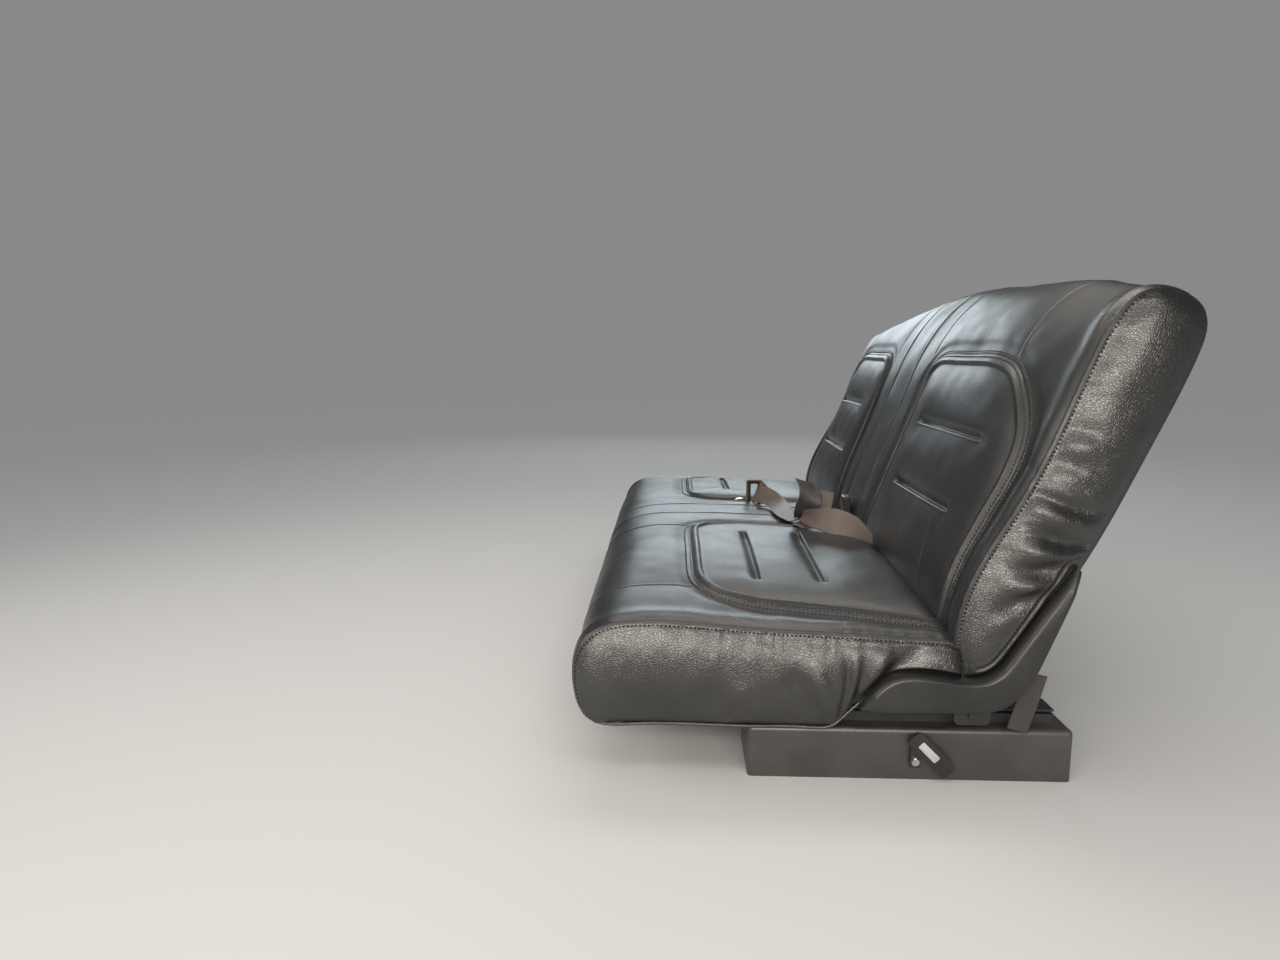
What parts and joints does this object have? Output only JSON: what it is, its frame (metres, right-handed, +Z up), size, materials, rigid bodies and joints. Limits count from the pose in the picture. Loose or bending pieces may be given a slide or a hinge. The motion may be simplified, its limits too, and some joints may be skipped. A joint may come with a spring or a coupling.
{
  "type": "limousine bench seat",
  "caption": "Full-width padded bench with leaned backrest on sliding rails and two floor risers, with side shields, release lever and lap belt pieces.",
  "frame": {"origin": "on the floor, midway between the four floor bolts", "axes": "+X to the car's left along the bench, -Y to the front where the sitter faces, +Z up"},
  "size_m": [1.4186, 0.8628, 0.7385],
  "materials": {
    "seat_leather": "satin",
    "riser_vinyl": "satin",
    "rail_steel": "satin",
    "lever_steel": "satin",
    "label_blank": "matte",
    "chrome_bolt": "polished",
    "frame_paint": "satin",
    "shield_plastic": "satin",
    "back_board": "matte",
    "webbing": "woven",
    "latch_metal": "satin",
    "buckle_plastic": "satin"
  },
  "bodies": {
    "base": {"riser_left": "riser_vinyl", "riser_right": "riser_vinyl", "rail_lower_left": "rail_steel", "rail_lower_right": "rail_steel", "release_lever": "lever_steel", "release_label": "label_blank", "lever_bolt": "chrome_bolt"},
    "bench": {"rail_upper_left": "rail_steel", "rail_upper_right": "rail_steel", "hinge_bracket_left": "frame_paint", "hinge_bracket_right": "frame_paint", "cushion_frame": "frame_paint", "cushion_pan": "frame_paint", "lower_back_tube": "frame_paint", "side_shield_left": "shield_plastic", "side_shield_right": "shield_plastic", "cushion": "seat_leather", "cushion_skirt": "seat_leather", "backrest": "seat_leather", "back_panel": "back_board", "belt_outboard_left": "webbing", "belt_outboard_right": "webbing", "lap_webbing": "webbing", "webbing_fold": "webbing", "latch_plate": "latch_metal", "latch_tongue": "chrome_bolt", "belt_buckle": "buckle_plastic"}
  },
  "joints": [
    {"name": "seat_slide", "type": "slide", "parent": "base", "child": "bench", "axis": [0, -1, 0], "range_m": [-0.075, 0.075]}
  ]
}
